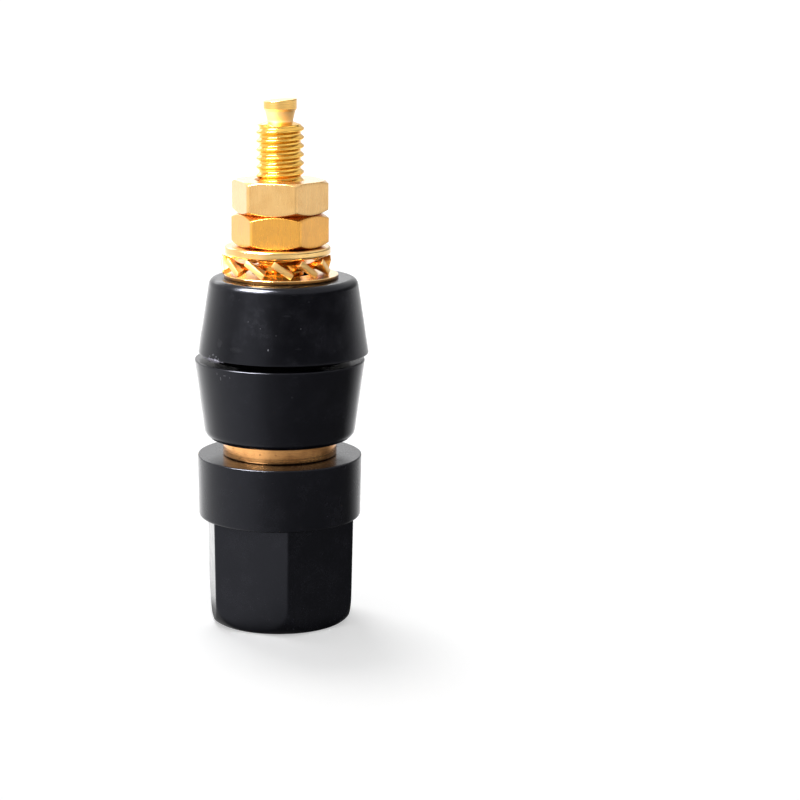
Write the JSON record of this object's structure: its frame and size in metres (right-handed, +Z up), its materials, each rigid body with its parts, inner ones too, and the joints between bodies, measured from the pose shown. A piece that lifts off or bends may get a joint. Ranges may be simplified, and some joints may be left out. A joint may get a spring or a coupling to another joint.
{
  "type": "banana socket",
  "caption": "Black binding-post banana socket with a gold-plated post, a hexagonal screw knob, tapered panel insulators, and a toothed washer and nuts on the threaded rear stud.",
  "frame": {"origin": "centre of the knob's end face, which the socket stands on, on the post's axis", "axes": "+Z up the post's axis to the tip of the rear stud; the pictured side faces -Y"},
  "size_m": [0.0143, 0.014, 0.0435],
  "materials": {
    "black_moulding": "semi-gloss moulded plastic",
    "gold_plate": "polished gold plate on turned brass",
    "gold_nut": "satin gold plate on cut brass"
  },
  "bodies": {
    "knob": {"knob": "black_moulding"},
    "knob_insert": {"knob_insert": "gold_plate"},
    "post": {"post": "gold_plate", "front_insulator": "black_moulding"},
    "rear_stack": {"rear_insulator": "black_moulding", "contact_washer": "gold_plate", "star_washer": "gold_plate", "flat_washer": "gold_plate"},
    "nuts": {"lower_nut": "gold_nut", "upper_nut": "gold_nut"}
  },
  "joints": [
    {"name": "knob_turn", "type": "hinge", "parent": "knob", "child": "knob_insert", "pos_m": [0, 0, 0.01], "axis": [0, 0, 1], "range_deg": [0, 1800]},
    {"name": "knob_travel", "type": "slide", "parent": "knob_insert", "child": "post", "axis": [0, 0, 1], "range_m": [0, 0.005]},
    {"name": "clamp_travel", "type": "slide", "parent": "post", "child": "rear_stack", "axis": [0, 0, 1], "range_m": [0, 0.0042]},
    {"name": "nut_turn", "type": "hinge", "parent": "rear_stack", "child": "nuts", "pos_m": [0, 0, 0.034], "axis": [0, 0, 1], "range_deg": [0, 2160]}
  ],
  "couplings": [
    {"joint": "knob_turn", "follows": "knob_travel", "rad_per_m": 6283.2},
    {"joint": "nut_turn", "follows": "clamp_travel", "rad_per_m": 8976}
  ]
}
